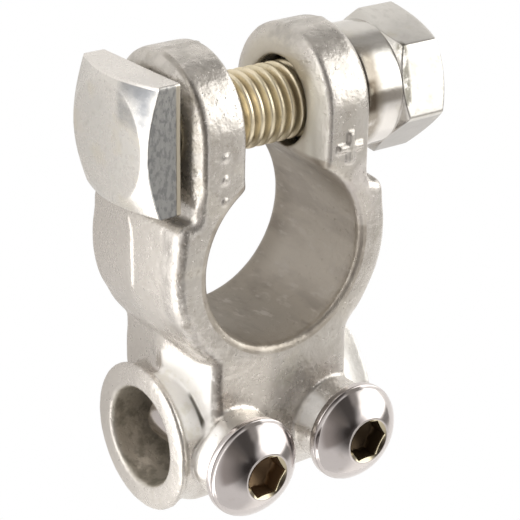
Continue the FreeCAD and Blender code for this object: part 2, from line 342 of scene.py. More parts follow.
# painted dark lines of the casting: painted shade in the neck's corner and painted dark reflections along rounded
# edges; where each ramp starts and ends, in millimetres
ringLine = {
    "inner": (11.95, 12.45), "outer": (13.05, 12.75), "front": (14.6, 15.1), "top": (8.0, 6.5), "side": (-6.5, -8.0),
}
bevelLine = {"x": -9.78, "width": (0.34, 0.16), "arch": (7.35, 7.6), "lowest": (8.6, 9.6), "front": (8.0, 10.0)}
neckLine = {
    "barrel": 7.3, "width": (0.42, 0.22), "back": (12.0, 12.8), "front": (14.7, 14.3), "lowest": (-18.4, -17.8),
    "wall": 9.05, "wallZ": 12.4, "lean": 0.083,  # the neck's wall: half its width at a height, and its lean
}


def ringEdge(tree, coords):
    # the front rim of the ring's outer wall, on its left side
    axes = addNode(tree, "SeparateXYZ", {0: coords}).outputs
    away = distance(tree, axes[0], axes[1])
    band = product(tree, ramp(tree, away, *ringLine["inner"]), ramp(tree, away, *ringLine["outer"]))
    return product(tree, band, ramp(tree, axes[2], *ringLine["front"]), ramp(tree, axes[1], *ringLine["top"]),
                   ramp(tree, axes[0], *ringLine["side"]))


def bevelEdge(tree, coords):
    # the upper edge of the left lug's long bevel, which runs around the arched top
    axes = addNode(tree, "SeparateXYZ", {0: coords}).outputs
    above = calc(tree, "MAXIMUM", calc(tree, "SUBTRACT", axes[1], clamp["boltY"] * mm), 0.0)
    away = distance(tree, above, calc(tree, "SUBTRACT", axes[2], clamp["middle"] * mm))
    aside = calc(tree, "ABSOLUTE", calc(tree, "SUBTRACT", axes[0], bevelLine["x"] * mm))
    return product(tree, ramp(tree, aside, *bevelLine["width"]), ramp(tree, away, *bevelLine["arch"]),
                   ramp(tree, axes[1], *bevelLine["lowest"]), ramp(tree, axes[2], *bevelLine["front"]))


def neckCorner(tree, coords):
    # the corner between the neck's left wall and the barrel
    axes = addNode(tree, "SeparateXYZ", {0: coords}).outputs
    along = calc(tree, "SUBTRACT", axes[1], clamp["barrelY"] * mm)
    away = distance(tree, along, calc(tree, "SUBTRACT", axes[2], clamp["middle"] * mm))
    fromBarrel = calc(tree, "SUBTRACT", away, neckLine["barrel"] * mm)
    fromWall = calc(tree, "ADD", axes[0], (neckLine["wall"] + neckLine["lean"] * neckLine["wallZ"]) * mm)
    fromWall = calc(tree, "SUBTRACT", fromWall, calc(tree, "MULTIPLY", axes[2], neckLine["lean"]))
    line = ramp(tree, distance(tree, fromBarrel, fromWall), *neckLine["width"])
    return product(tree, line, ramp(tree, axes[2], *neckLine["back"]), ramp(tree, axes[2], *neckLine["front"]),
                   ramp(tree, axes[1], *neckLine["lowest"]))


frontFace = inBox((None, None, 15.25), (None, None, 16.3), 0.15)
postBore = nearPost(10.15)
cableBore = nearAxis(clamp["barrelY"], clamp["middle"], 5.3)
headFlat = inBox((-15.7, None, 14.25), (-12.15, None, None), 0.08)
headCorner = inBox((-15.55, 15.6, 9.8), (-13.0, None, 14.0), 0.6)
# each look: its marks lie over one another in the order given, and sizes are in millimetres; some are real stains and
# some are painted light and shade, and the darkest colour, laid into hollows by ambient occlusion, is painted shade
# a grain is its size, the low and high end of the noise that shows, and its seed
castLook = {
    "tint": (0.665, 0.63, 0.59), "tint2": (0.615, 0.585, 0.545), "speckle": (0.54, 0.51, 0.46),
    "paintedHollowShade": (0.20, 0.17, 0.12), "cloudSize": 9.0, "speckleSize": 1.1,
    "metal": 0.7, "hollowSize": 1.2, "hollowFrom": 0.0, "hollowTo": 0.35, "rough": (0.22, 0.36),
    "stainsAndPaintedLight": [
        # the slot's faces and their bevels; their front part is painted near white, as painted light
        {"mask": inBox((-4.5, 8.6, None), (4.5, None, 13.4), 0.4), "colour": (0.66, 0.62, 0.54), "rough": 0.36},
        {"mask": inBox((-4.7, 8.6, 12.9), (4.7, None, 15.4), 0.7),
         "colour": (1.0, 0.985, 0.915), "rough": 0.4, "metal": 0.4},
        # the post bore, with its streaks; its right side is painted lighter, as painted light, and its lower left
        # darker, as painted shade
        {"mask": postBore, "colour": (0.475, 0.43, 0.37), "rough": 0.38},
        {"mask": postBore, "grain": (2.2, 0.46, 0.66, 11.0), "stretch": (1, 1, 0.3),
         "colour": (0.33, 0.29, 0.25), "share": 0.8},
        {"mask": inBox((6.2, -9.0, 3.0), (10.0, 3.5, 15.0), 1.8), "colour": (0.78, 0.73, 0.66), "share": 0.55},
        {"mask": inBox((-9.0, -10.2, 0.5), (4.0, -3.0, 12.5), 2.0), "colour": (0.36, 0.33, 0.285), "share": 0.5},
        {"mask": postBore, "grain": (1.0, 0.54, 0.70, 12.0), "stretch": (1, 1, 0.4),
         "colour": (0.66, 0.62, 0.57), "share": 0.6},
        # painted highlights beside the neck: the skin there is painted near white on both sides, with a mottle over the
        # left one
        {"mask": inBox((-11.25, -17.4, 8.8), (-7.9, -9.9, 15.35), 0.3),
         "colour": (1.0, 0.985, 0.955), "rough": 0.5, "metal": 0.3},
        {"mask": inBox((-11.25, -17.4, 8.8), (-8.9, -11.9, 15.35), 0.3), "grain": (1.3, 0.46, 0.66, 22.0),
         "colour": (0.80, 0.77, 0.66), "share": 0.5},
        {"mask": inBox((8.3, -17.4, 8.8), (12.0, -8.0, 15.5), 0.4),
         "colour": (1.0, 0.985, 0.955), "rough": 0.5, "metal": 0.3},
        # the left lug: painted shade in the gap behind the bolt's head, a darker mottle along its long bevel, a painted
        # dark reflection line at the bevel's upper edge, and a darker mottle on the lugs' tops
        {"mask": inBox((-11.3, 7.2, 3.0), (-10.45, 15.6, 14.0), 0.4), "colour": (0.24, 0.20, 0.14), "share": 0.85},
        {"mask": inBox((-10.8, 8.0, 12.6), (-9.85, 18.0, 15.7), 0.15), "grain": (1.1, 0.36, 0.60, 25.0),
         "colour": (0.50, 0.465, 0.41), "share": 0.85},
        {"mask": bevelEdge, "grain": (0.9, 0.22, 0.46, 23.0), "colour": (0.27, 0.245, 0.21), "share": 0.85},
        {"mask": inBox((None, 19.0, None), (None, None, None), 0.8), "grain": (1.5, 0.40, 0.66, 24.0),
         "stretch": (0.5, 1, 1), "colour": (0.42, 0.40, 0.37), "share": 0.7},
        # painted light and shade: a painted highlight on the right boss, painted shade low on the ring's left wall and
        # on its band near the front, and painted highlights on the right lug's front and on the left boss
        {"mask": inBox((1.2, -18.7, 15.9), (3.9, -15.8, 17.9), 0.35),
         "colour": (1.0, 0.985, 0.96), "rough": 0.5, "metal": 0.2},
        {"mask": inBox((None, None, None), (-8.0, 7.0, 7.6), 0.5), "colour": (0.56, 0.53, 0.495), "share": 0.8},
        {"mask": inBox((None, -6.0, 13.0), (-10.0, 7.5, 15.2), 0.5), "colour": (0.52, 0.495, 0.465), "share": 0.85},
        {"mask": inBox((5.0, 1.5, 15.2), (10.9, 8.0, 16.3), 0.8), "colour": (0.84, 0.79, 0.76), "share": 0.75},
        {"mask": inBox((-11.6, -20.5, 15.45), (-8.6, -15.4, 17.6), 0.4),
         "colour": (1.0, 0.985, 0.96), "rough": 0.5, "metal": 0.3},
        # painted shade: a dark line in the corner between the neck's left wall and the barrel
        {"mask": neckCorner, "colour": (0.13, 0.12, 0.10), "rough": 0.6, "metal": 0.6},
        {"mask": cableBore, "colour": (0.60, 0.555, 0.47), "rough": 0.45},
        {"mask": cableBore, "grain": (1.6, 0.44, 0.62, 18.0), "colour": (0.32, 0.295, 0.24), "share": 0.85},
        # the front face, mottled all over, then darker and lighter at the neck
        {"mask": frontFace, "grain": (2.4, 0.48, 0.72, 7.0), "colour": (0.52, 0.485, 0.44), "share": 0.7},
        {"mask": frontFace, "grain": (5.0, 0.52, 0.64, 9.0), "colour": (0.72, 0.68, 0.61), "share": 0.5},
        {"mask": frontFace, "grain": (0.7, 0.57, 0.72, 8.0), "colour": (0.42, 0.38, 0.33), "share": 0.6},
        {"mask": inBox((-4.0, -18.5, 15.2), (6.5, -11.5, 16.4), 1.3), "grain": (2.2, 0.44, 0.68, 10.0),
         "colour": (0.47, 0.45, 0.37), "share": 0.5},
        {"mask": inBox((-7.6, -16.0, 15.2), (-1.5, -9.8, 16.4), 0.9), "colour": (0.84, 0.79, 0.73), "share": 0.85},
        # painted dark reflection lines along the rounded front edges of the ring and the neck, where the bright edge
        # turns dark
        {"mask": ringEdge, "grain": (0.55, 0.42, 0.60, 19.0), "colour": (0.34, 0.31, 0.27), "share": 0.75},
        {"mask": inBox((-8.5, -16.0, 15.0), (-7.5, -9.4, 15.9), 0.15), "grain": (1.1, 0.26, 0.50, 20.0),
         "colour": (0.30, 0.27, 0.24), "share": 0.8},
    ],
    "bumps": [
        {"size": 3.0, "height": 0.06, "seed": 3.0, "detail": 1.0},
        {"size": 0.9, "height": 0.095, "seed": 4.0, "detail": 3.0},
        {"size": 0.4, "height": -0.03, "seed": 5.0, "pits": (0.62, 0.72)},
    ],
}
headLook = {
    "tint": (0.68, 0.655, 0.62), "tint2": (0.63, 0.615, 0.585), "speckle": (0.56, 0.54, 0.505),
    "paintedHollowShade": (0.25, 0.22, 0.17), "cloudSize": 5.0, "speckleSize": 0.7,
    "metal": 0.9, "hollowSize": 1.2, "hollowFrom": 0.0, "hollowTo": 0.35, "rough": (0.22, 0.36),
    "stainsAndPaintedLight": [
        {"grain": (3.5, 0.50, 0.66, 13.0), "colour": (0.66, 0.62, 0.53), "share": 0.5},
        # a corner painted darker, as a painted reflection of shaded surroundings, with darker streaks over it; the top
        # painted lighter, as painted light; then the front flat and the strip behind it
        {"mask": headCorner, "colour": (0.30, 0.305, 0.315), "share": 0.95},
        {"mask": headCorner, "grain": (1.0, 0.40, 0.62, 14.0), "stretch": (1, 1, 0.35),
         "colour": (0.20, 0.21, 0.225), "share": 0.6},
        {"mask": inBox((-15.7, 19.35, None), (-11.5, None, None), 0.06), "colour": (0.80, 0.77, 0.735), "share": 0.9},
        {"mask": headFlat, "colour": (0.35, 0.35, 0.345), "rough": 0.46},
        {"mask": headFlat, "grain": (0.42, 0.46, 0.62, 15.0), "stretch": (1, 0.6, 1),
         "colour": (0.22, 0.222, 0.225), "share": 0.8},
        {"mask": inBox((-12.15, None, 14.25), (-11.5, None, None), 0.08), "colour": (0.58, 0.53, 0.43), "rough": 0.3},
    ],
    "bumps": [
        {"size": 2.5, "height": 0.02, "seed": 3.0, "detail": 1.0},
        {"size": 0.5, "height": 0.012, "seed": 4.0, "detail": 2.0},
        {"size": 0.4, "height": 0.10, "seed": 6.0, "detail": 3.0, "stretch": (1, 0.6, 1), "mask": headFlat},
    ],
}
threadLook = {
    "tint": (0.90, 0.80, 0.60), "tint2": (0.82, 0.74, 0.55), "speckle": (0.64, 0.57, 0.42),
    "paintedHollowShade": (0.15, 0.12, 0.085), "cloudSize": 4.0, "speckleSize": 0.8,
    "metal": 0.9, "hollowSize": 0.7, "hollowFrom": 0.05, "hollowTo": 0.8, "rough": (0.30, 0.42),
    "stainsAndPaintedLight": [],
    "bumps": [{"size": 0.6, "height": 0.012, "seed": 4.0, "detail": 2.0}],
}
nutLook = {
    "tint": (0.67, 0.65, 0.615), "tint2": (0.62, 0.60, 0.57), "speckle": (0.55, 0.53, 0.49),
    "paintedHollowShade": (0.22, 0.19, 0.14), "cloudSize": 5.0, "speckleSize": 0.8,
    "metal": 0.9, "hollowSize": 1.2, "hollowFrom": 0.0, "hollowTo": 0.35, "rough": (0.15, 0.26),
    "stainsAndPaintedLight": [
        # two of the hexagon's flats: a dark rough line along one flat's inner edge, and another flat painted darker, as
        # painted shade; then the collar: a painted highlight below the axis, a painted dark band just above it, and
        # painted shade at its end against the lug
        {"mask": inBox((15.45, 12.4, 12.6), (16.3, 19.0, None), 0.2), "grain": (0.9, 0.34, 0.56, 16.0),
         "colour": (0.15, 0.14, 0.11), "share": 0.85},
        {"mask": inBox((15.3, 5.5, 9.0), (None, 10.7, 14.6), 0.15), "colour": (0.385, 0.37, 0.355), "share": 0.95},
        {"mask": inBox((11.2, 7.5, 8.0), (15.3, 13.0, None), 0.4), "colour": (0.76, 0.73, 0.705), "share": 0.9},
        {"mask": inBox((11.8, 13.1, 12.0), (15.3, 14.4, None), 0.3), "colour": (0.36, 0.33, 0.30), "share": 0.85},
        {"mask": inBox((10.7, None, 11.0), (12.7, 18.3, None), 0.7), "grain": (1.6, 0.12, 0.50, 21.0),
         "colour": (0.27, 0.235, 0.19), "share": 0.9},
        {"mask": inBox((10.7, 12.4, 12.2), (12.0, 15.6, None), 0.35), "colour": (0.11, 0.085, 0.06), "share": 0.9},
        {"grain": (2.6, 0.54, 0.70, 17.0), "colour": (0.58, 0.54, 0.45), "share": 0.5},
    ],
    "bumps": [
        {"size": 2.0, "height": 0.015, "seed": 3.0, "detail": 1.0},
        {"size": 0.6, "height": 0.01, "seed": 4.0, "detail": 2.0},
    ],
}
chromeLook = {
    "tint": (0.61, 0.57, 0.56), "tint2": (0.58, 0.54, 0.53), "speckle": (0.55, 0.51, 0.49),
    "paintedHollowShade": (0.10, 0.08, 0.06), "cloudSize": 5.0, "speckleSize": 1.0,
    "metal": 1.0, "hollowSize": 1.0, "hollowFrom": 0.0, "hollowTo": 0.3, "rough": (0.11, 0.16),
    "stainsAndPaintedLight": [
        # the sockets' countersinks, then their dark oxide insides; the left inside is painted lighter than the right,
        # as painted light
        {"mask": inSocket(-clamp["screwX"], 2.40, 21.83), "colour": (0.52, 0.46, 0.33)},
        {"mask": inSocket(clamp["screwX"], 2.40, 21.83), "colour": (0.52, 0.46, 0.33)},
        {"mask": inSocket(-clamp["screwX"], 2.36, 21.46), "colour": (0.28, 0.19, 0.11), "rough": 0.45, "metal": 0.8},
        {"mask": inSocket(clamp["screwX"], 2.36, 21.46), "colour": (0.12, 0.085, 0.05), "rough": 0.45, "metal": 0.8},
    ],
    "bumps": [{"size": 2.5, "height": 0.006, "seed": 3.0, "detail": 1.0}],
}
headMetal = metalFinishAndPaintedLight("forgedHead", headLook)
threadMetal = metalFinishAndPaintedLight("rolledThread", threadLook)
nutMetal = metalFinishAndPaintedLight("brightNut", nutLook)
chrome = metalFinishAndPaintedLight("screwChrome", chromeLook)
print("finishes made")


# mesh helpers, all sizes in millimetres

def addPiece(name, mesh, material, body, replaced=None):
    mesh.materials.clear()
    mesh.materials.append(material)
    mesh.shade_smooth()
    piece = bpy.data.objects.new(name, mesh)
    bpy.context.scene.collection.objects.link(piece)
    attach(piece, body)
    if replaced:
        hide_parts(replaced)
    print(name, len(mesh.polygons), "faces")
    return piece


def skinRings(name, rings):
    # a closed skin through rings of points, with a middle point at each end
    count = len(rings[0])
    points = np.concatenate([np.mean(rings[0], 0)[None], *rings, np.mean(rings[-1], 0)[None]]) * mm
    faces = []
    for i in range(len(rings) - 1):
        a, b = 1 + i * count, 1 + (i + 1) * count
        for j in range(count):
            k = (j + 1) % count
            faces.append((a + j, a + k, b + k, b + j))
    last = len(points) - 1
    for j in range(count):
        k = (j + 1) % count
        faces.append((0, 1 + k, 1 + j))
        faces.append((last, last - count + j, last - count + k))
    return facedOut(name, points, faces)


def facedOut(name, points, faces):
    # turns every face outward, by the sign of the volume that they close
    corner = np.array([(f[0], f[1], f[2]) for f in faces] + [(f[0], f[2], f[3]) for f in faces if len(f) == 4])
    a, b, c = points[corner[:, 0]], points[corner[:, 1]], points[corner[:, 2]]
    if (a * np.cross(b, c)).sum() < 0:
        faces = [tuple(reversed(f)) for f in faces]
    mesh = bpy.data.meshes.new(name)
    mesh.from_pydata(points.tolist(), [], faces)
    mesh.validate()
    return mesh


def ringAlongX(x, radius, angles, axisY, axisZ):
    radius = np.broadcast_to(radius, angles.shape)
    x = np.broadcast_to(x, angles.shape)
    return np.stack([x, axisY + radius * np.cos(angles), axisZ + radius * np.sin(angles)], 1)


def softMin(a, b, soft):
    return (a + b - np.sqrt((a - b) ** 2 + soft * soft)) / 2


def polygonRadius(angles, width, sides, turnDegrees, sharp):
    # distance to a polygon's outline, with slightly rounded corners; a flat faces turnDegrees
    total = 0.0
    for i in range(sides):
        side = np.maximum(np.cos(angles - math.radians(turnDegrees + i * 360 / sides)), 1e-6)
        total = total + side ** sharp
    return width / 2 / total ** (1 / sharp)


# clamp bolt

bolt = {
    "headEnd": -15.6, "bearing": -11.6, "headWidth": 13.0, "headTurn": -0.6, "headSharp": 90, "headSoft": 0.07,
    "faceRadius": 5.9, "faceEdge": 0.04, "chamferAngle": 27.0, "backEdge": 0.2, "shank": 3.9,
    "tip": 18.4, "tipChamfer": 0.8, "radius": 4.0, "rootRadius": 3.25, "pitch": 1.25, "crestAt": 0.73,
    "threadFrom": 1, "runOut": 0.35, "runOutSlope": 0.25,
}


def threadRadius(x, angles, pitch, crest, root, crestAt):
    # a helical thread: how far out its skin is at x, for each angle
    away = (x - crestAt) / pitch - angles / (2 * math.pi)
    away = np.abs(away - np.round(away))
    share = np.clip((away - 0.12) / 0.36, 0, 1)
    share = share * share * (3 - 2 * share)
    return crest - (crest - root) * share


def boltRing(x, radius, angles):
    return ringAlongX(x, radius, angles, clamp["boltY"], clamp["middle"])


def buildBolt():
    angles = np.radians(bolt["headTurn"] + np.arange(360.0))
    square = polygonRadius(angles, bolt["headWidth"], 4, bolt["headTurn"], bolt["headSharp"])
    slope = 1 / math.tan(math.radians(bolt["chamferAngle"]))
    rings = []
    for share in (0.15, 0.3, 0.45, 0.6, 0.75, 0.88, 0.95):
        rings.append(boltRing(bolt["headEnd"], bolt["faceRadius"] * share, angles))
    # rings close together over the turned corners and the back edge
    stations = list(np.arange(0.012, 1.9, 0.055))
    stations += [2.1, 2.4, 2.8, 3.2, 3.5, 3.7, 3.8, 3.86, 3.92, 3.96, 3.99]
    for station in stations:
        cone = bolt["faceRadius"] - bolt["faceEdge"] + station * slope
        radius = softMin(square, cone, bolt["headSoft"])
        back = max(0.0, (station - 3.8) / bolt["backEdge"])
        radius = radius - bolt["backEdge"] * (1 - math.sqrt(max(0.0, 1 - back * back)))
        rings.append(boltRing(bolt["headEnd"] + station, radius, angles))
    for share in (0.9, 0.7, 0.5):
        rings.append(boltRing(bolt["bearing"], bolt["radius"] + (square - bolt["radius"]) * share, angles))
    rings.append(boltRing(bolt["bearing"], 3.5, angles))
    addPiece("boltHead", skinRings("boltHead", rings), headMetal, "bolt", "clamp_bolt")

    angles = np.radians(np.arange(0, 360, 4.0))
    rings = [boltRing(bolt["bearing"] - 0.3, 3.2, angles)]
    x = bolt["bearing"] - 0.1
    while x < bolt["tip"] - 0.001:
        radius = threadRadius(x, angles, bolt["pitch"], bolt["radius"], bolt["rootRadius"], bolt["crestAt"])
        taper = bolt["radius"] - max(0.0, x - (bolt["tip"] - bolt["tipChamfer"]))
        neck = bolt["radius"] - bolt["runOut"] + max(0.0, (x - bolt["bearing"])) * bolt["runOutSlope"]
        if x > bolt["bearing"] + bolt["threadFrom"]:
            rings.append(boltRing(x, np.minimum(radius, min(taper, neck)), angles))
        else:
            rings.append(boltRing(x, bolt["shank"], angles))
        x += bolt["pitch"] / 14
    rings.append(boltRing(bolt["tip"], 3.1, angles))
    addPiece("boltThread", skinRings("boltThread", rings), threadMetal, "bolt")


buildBolt()

# nut: hexagon at its outer end, round collar against the lug

nut = {
    "bearing": 10.75, "end": 21.0, "hexLength": 5.7, "width": 13.0, "turn": 17.0,
    "endRadius": 6.2, "collarRadius": 6.45, "chamferAngle": 30.0, "mouth": 0.5, "gap": 0.08, "collarEdge": 0.45,
    "sharp": 110, "shoulderSoft": 0.06, "endSoft": 0.12,
}


def buildNut():
    angles = np.radians(nut["turn"] + np.arange(360.0))
    hexagon = polygonRadius(angles, nut["width"], 6, nut["turn"], nut["sharp"])
    shoulder = nut["end"] - nut["hexLength"]
    slope = 1 / math.tan(math.radians(nut["chamferAngle"]))
    stations = [0.0, 0.03, 0.08, 0.15, 0.23, 0.33, 0.45, 0.7, 1.2, 2.2, 3.2, 4.0, 4.4, 4.5]
    stations = [nut["bearing"] + s for s in stations] + list(np.arange(shoulder, shoulder + 1.0, 0.05))
    stations += list(np.arange(shoulder + 1.2, nut["end"] - 1.0, 0.4))
    stations += list(np.arange(nut["end"] - 0.95, nut["end"] - 0.01, 0.05))
    rings = []
    for x in stations:
        if x < shoulder:
            edge = min(1.0, (x - nut["bearing"]) / nut["collarEdge"])
            radius = np.full(360, nut["collarRadius"] - nut["collarEdge"] * (1 - math.sqrt(edge * (2 - edge))))
        else:
            inner = nut["collarRadius"] + (x - shoulder) * slope
            outer = nut["endRadius"] + (nut["end"] - x) * slope
            radius = softMin(softMin(hexagon, inner, nut["shoulderSoft"]), outer, nut["endSoft"])
            radius = np.maximum(radius, nut["endRadius"] - 0.02)
        rings.append(boltRing(x, radius, angles))
    bore = bolt["radius"] + nut["gap"]
    mouth = bore + nut["mouth"]
    for radius in (nut["endRadius"] - 0.08, 5.6, 5.0, mouth):
        rings.append(boltRing(nut["end"], radius, angles))
    x = nut["end"] - 0.02
    while x > nut["bearing"] + 0.02:
        cut = threadRadius(x, angles, bolt["pitch"], bore, bolt["rootRadius"] + nut["gap"], bolt["crestAt"])
        flare = max(mouth - (nut["end"] - x), mouth - (x - nut["bearing"]), 0.0)
        rings.append(boltRing(x, np.maximum(cut, flare), angles))
        x -= bolt["pitch"] / 12
    rings.append(boltRing(nut["bearing"], mouth, angles))
    addPiece("clampNut", skinLoop("clampNut", rings), nutMetal, "nut", "clamp_nut")


def skinLoop(name, rings):
    # a skin whose last ring joins its first one, as a nut's does
    count, total = len(rings[0]), len(rings)
    points = np.concatenate(rings) * mm
    faces = []
    for i in range(total):
        a, b = i * count, ((i + 1) % total) * count
        for j in range(count):
            k = (j + 1) % count
            faces.append((a + j, a + k, b + k, b + j))
    return facedOut(name, points, faces)


buildNut()

# cable screws: button head with a hexagon socket

screw = {
    "seat": 18.75, "band": 0.8, "radius": 5.25, "bandEdge": 0.2, "top": 21.85, "flat": 2.38, "ballRadius": 6.30,
    "ballZ": 16.067, "socket": 4.0, "socketTurn": 30.0, "socketSharp": 200, "socketDepth": 2.2, "pointAngle": 30.0,
    "shank": 3.0, "root": 2.45, "pitch": 1.0, "tip": 4.75, "tipChamfer": 0.5, "plainTip": 5.0, "sinkAngle": 32.0,
}


def buildScrew(name, x, body, node):
    angles = np.radians(np.arange(0, 360, 2.5))
    hexagon = polygonRadius(angles, screw["socket"], 6, screw["socketTurn"], screw["socketSharp"])

    def ring(radius, z):
        radius = np.broadcast_to(radius, angles.shape)
        height = np.broadcast_to(z, angles.shape)
        return np.stack([x + radius * np.cos(angles), clamp["barrelY"] + radius * np.sin(angles), height], 1)

    rings = []
    point = screw["top"] - screw["socketDepth"] - screw["socket"] / 2 * math.tan(math.radians(screw["pointAngle"]))
    rings.append(ring(0.15, point + 0.05))
    floorZ = screw["top"] - screw["socketDepth"]
    for share in (0.3, 0.6, 0.9, 1.0):
        rings.append(ring(screw["socket"] / 2 * share, point + (floorZ - point) * share))
    rings.append(ring(hexagon, floorZ + 0.02))
    for depth in (1.6, 1.2, 0.8, 0.6):
        rings.append(ring(hexagon, screw["top"] - depth))
    steep = math.tan(math.radians(screw["sinkAngle"]))
    for share in (0.0, 0.06, 0.3, 0.6, 0.85, 0.96):
        radius = hexagon * (1 - share) + screw["flat"] * share
        rings.append(ring(radius, screw["top"] - 0.01 - (screw["flat"] - radius) * steep))
    rings.append(ring(screw["flat"] + 0.02, screw["top"]))
    for radius in np.linspace(screw["flat"] + 0.06, screw["radius"] - screw["bandEdge"], 30):
        dome = screw["ballZ"] + math.sqrt(screw["ballRadius"] ** 2 - radius ** 2)
        rings.append(ring(radius, min(screw["top"], dome)))
    for share in (0.25, 0.5, 0.75, 1.0):
        corner = math.pi / 2 * share
        rings.append(ring(screw["radius"] - screw["bandEdge"] * (1 - math.sin(corner)),
                          screw["seat"] + screw["band"] - screw["bandEdge"] * (1 - math.cos(corner))))
    rings.append(ring(screw["radius"], screw["seat"] + 0.3))
    rings.append(ring(screw["radius"], screw["seat"] + 0.12))
    rings.append(ring(screw["radius"] - 0.04, screw["seat"] + 0.04))
    rings.append(ring(screw["radius"] - 0.12, screw["seat"]))
    rings.append(ring(4.0, screw["seat"]))
    rings.append(ring(screw["shank"], screw["seat"]))
    z = screw["seat"] - 0.3
    while z > screw["tip"] + 0.001:
        radius = threadRadius(z, angles, screw["pitch"], screw["shank"], screw["root"], 0.0)
        taper = screw["shank"] - max(0.0, screw["tip"] + screw["tipChamfer"] - z)
        plain = np.clip((screw["tip"] + screw["plainTip"] - z) / 0.6, 0, 1)
        radius = radius * (1 - plain) + (screw["shank"] - 0.08) * plain
        rings.append(ring(np.minimum(radius, taper), z))
        z -= screw["pitch"] / 10
    rings.append(ring(2.4, screw["tip"]))
    rings.append(ring(1.2, screw["tip"]))
    addPiece(name, skinRings(name, rings), chrome, body, node)


buildScrew("cableScrewLeft", -clamp["screwX"], "screw_left", "cable_screw_left")
buildScrew("cableScrewRight", clamp["screwX"], "screw_right", "cable_screw_right")

# casting: the CAD body with the rounded edges, draft and parting lines of a die casting

def leftWallLine():
    # the parting line of the ring's left wall, which sinks away from the lug
    line = []
    for y in np.linspace(6.4, -2.6, 18):
        x = math.sqrt(clamp["ring"] ** 2 - y * y)
        line.append((-x, y, 8.3 - 1.36 * (clamp["ring"] - x)))
    return line


casting = {
    "coarse": 0.20, "passes": 90, "soft": 0.13, "fine": 0.155, "finePasses": 3,
    "waves": 0.05, "waveSize": 5.0, "faces": 190000,
    "softness": [
        # how far the edges in a box are rounded, from 0 to 1: corners of the box, soft edge, share
        {"low": (None, -10.0, 12.9), "high": (-7.6, 6.0, None), "edge": 0.9, "share": 0.5},
        {"low": (7.6, None, 12.9), "high": (None, None, None), "edge": 0.9, "share": 0.45},
        {"low": (None, 17.0, None), "high": (-9.9, None, None), "edge": 0.5, "share": 0.2},
        {"low": (9.6, 14.0, None), "high": (None, None, None), "edge": 0.5, "share": 0.6},
        {"low": (-10.3, -17.0, 3.0), "high": (-6.0, -9.6, 10.5), "edge": 0.8, "share": 0.6},
        {"low": (6.0, -17.0, 3.0), "high": (10.3, -9.6, 10.5), "edge": 0.8, "share": 0.6},
    ],
    "ridges": [
        # points along the ridge, half its width, how deep its middle lies
        {"line": leftWallLine(), "half": 0.26, "sunk": 0.07},
        {"line": [(-9.4, -9.6, 8.0), (-9.4, -12.2, 8.0)], "half": 0.24, "sunk": 0.12},
        {"line": [(-10.4, 21.0, clamp["middle"]), (-4.7, 21.0, clamp["middle"])], "half": 0.24, "sunk": 0.10},
        {"line": [(4.7, 21.0, clamp["middle"]), (10.4, 21.0, clamp["middle"])], "half": 0.24, "sunk": 0.10},
        {"line": [(clamp["ring"], y, clamp["middle"]) for y in np.linspace(2.0, -6.0, 14)], "half": 0.24, "sunk": 0.10},
        # the plus sign
        {"line": [(6.0, 10.0, clamp["front"]), (9.1, 10.0, clamp["front"])], "half": 0.45, "sunk": 0.02},
        {"line": [(7.55, 8.45, clamp["front"]), (7.55, 11.55, clamp["front"])], "half": 0.45, "sunk": 0.02},
    ],
    "dots": {"x": -7.5, "rows": (7.6, 9.8, 12.0), "radius": 0.62, "sunk": 0.38},
}


def step(value, low, high):
    # smooth step of an array from low to high
    share = np.clip((value - low) / (high - low), 0, 1)
    return share * share * (3 - 2 * share)


def boxShare(points, low, high, edge):
    total = np.ones(len(points))
    for i in range(3):
        if low[i] is not None:
            total = total * step(points[:, i], low[i] - edge, low[i] + edge)
        if high[i] is not None:
            total = total * step(points[:, i], high[i] + edge, high[i] - edge)
    return total


draft = {
    # how far the ring's walls stand out at the parting plane, and their lean for each millimetre away from it
    "out": 0.24, "lean": 0.05,
    # how much less the lugs' faces have of both, so that the bolt's head and the nut seat on them, and from which y
    "lugIn": 0.31, "lugUpright": 0.03, "lugFrom": (5.9, 6.7),
    # long bevels of the lugs outside and in the slot: slope and depth; the CAD's chamfer comes off
    "arch": 7.85, "outerBevel": (0.5, 1.6), "slotBevel": (0.46, 1.8), "chamfer": 0.65,
    # barrel and the cone that the CAD has around the neck's foot
    "barrel": 7.3, "cone": 1.4, "coneAt": 17.75,
    # the neck's walls: heights, and how far out the wall is moved at each
    "neckZ": (8.9, 12.4, 14.2, 15.05, 15.7), "neckOut": (0.91, 0.0, -0.15, -0.52, -0.5),
    # fuller collars, and the bosses' cones from their top down
    "collar": 0.22, "collarEnd": 0.14, "bossTop": 18.7, "bossSpread": 0.27, "footZ": 16.4, "foot": 0.7,
}


def bevelAt(depth, bevel):
    slope, deep = bevel
    return slope * np.clip(deep - depth, 0, deep) - np.clip(draft["chamfer"] - depth, 0, draft["chamfer"])


